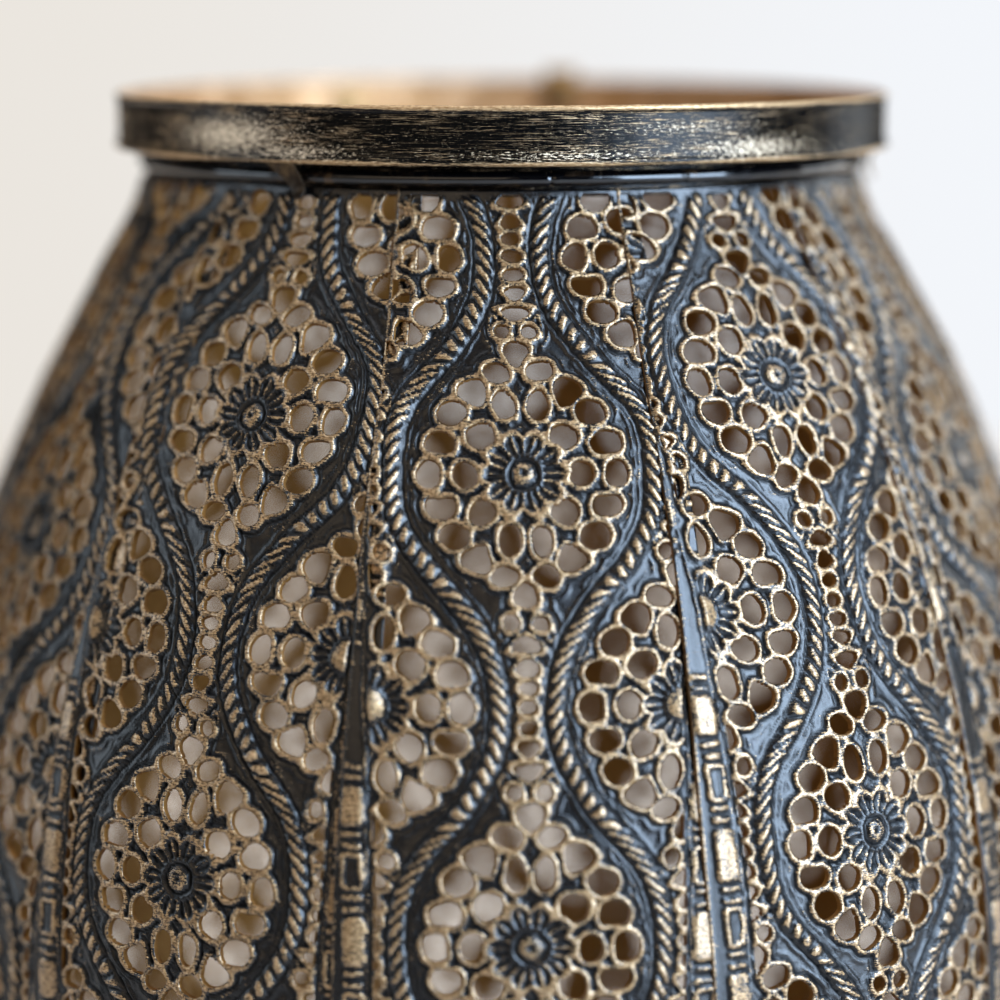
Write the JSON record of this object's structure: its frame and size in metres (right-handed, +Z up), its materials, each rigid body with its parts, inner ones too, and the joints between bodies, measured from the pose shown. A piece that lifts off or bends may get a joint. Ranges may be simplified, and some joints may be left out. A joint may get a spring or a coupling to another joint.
{
  "type": "pierced metal lantern",
  "caption": "Free-standing round-bellied lantern of lapped pierced and embossed sheet-metal gores between a mouth hoop and a foot hoop, with a lift-out candle tray, glass and candle.",
  "frame": {"origin": "centre of the foot's underside, on the lantern's axis", "axes": "+Z up along the axis to the open mouth, -Y is the front"},
  "size_m": [0.2678, 0.2678, 0.3746],
  "materials": {
    "gore_sheet": "satin black paint, dry-brushed antique gold on the raised work, gold paint inside",
    "hoop": "satin black paint, scratched back to antique gold, gold inside and on the lips",
    "black_wire": "gloss black paint",
    "gold_clip": "antique gold paint, worn dark in the corners",
    "plain_gold_sheet": "satin antique gold",
    "pin_steel": "dull steel",
    "clear_glass": "clear, thin wall",
    "wax": "candle wax, ivory, soft sheen",
    "wick": "charred cotton wick"
  },
  "bodies": {
    "lantern": {"rim_band": "hoop", "rim_joint_clip": "gold_clip", "neck_wire": "black_wire", "base_wire": "black_wire", "foot_band": "hoop", "base_plate": "plain_gold_sheet", "rim_claw_1": "gold_clip", "rim_claw_2": "gold_clip", "rim_claw_3": "gold_clip", "foot_claw_1": "gold_clip", "foot_claw_2": "gold_clip", "foot_claw_3": "gold_clip", "panel_01": "gore_sheet", "panel_02": "gore_sheet", "panel_03": "gore_sheet", "panel_04": "gore_sheet", "panel_05": "gore_sheet", "panel_06": "gore_sheet", "panel_07": "gore_sheet", "panel_08": "gore_sheet", "panel_09": "gore_sheet", "panel_10": "gore_sheet", "panel_11": "gore_sheet", "panel_12": "gore_sheet"},
    "tray": {"candle_tray": "plain_gold_sheet", "candle_pin": "pin_steel"},
    "glass": {"glass_chimney": "clear_glass"},
    "candle_body": {"candle": "wax", "candle_wick": "wick"}
  },
  "joints": [
    {"name": "tray_lift", "type": "slide", "parent": "lantern", "child": "tray", "axis": [0, 0, 1], "range_m": [0, 0.38]},
    {"name": "glass_lift", "type": "slide", "parent": "tray", "child": "glass", "axis": [0, 0, 1], "range_m": [0, 0.1]},
    {"name": "candle_lift", "type": "slide", "parent": "tray", "child": "candle_body", "axis": [0, 0, 1], "range_m": [0, 0.03]}
  ]
}
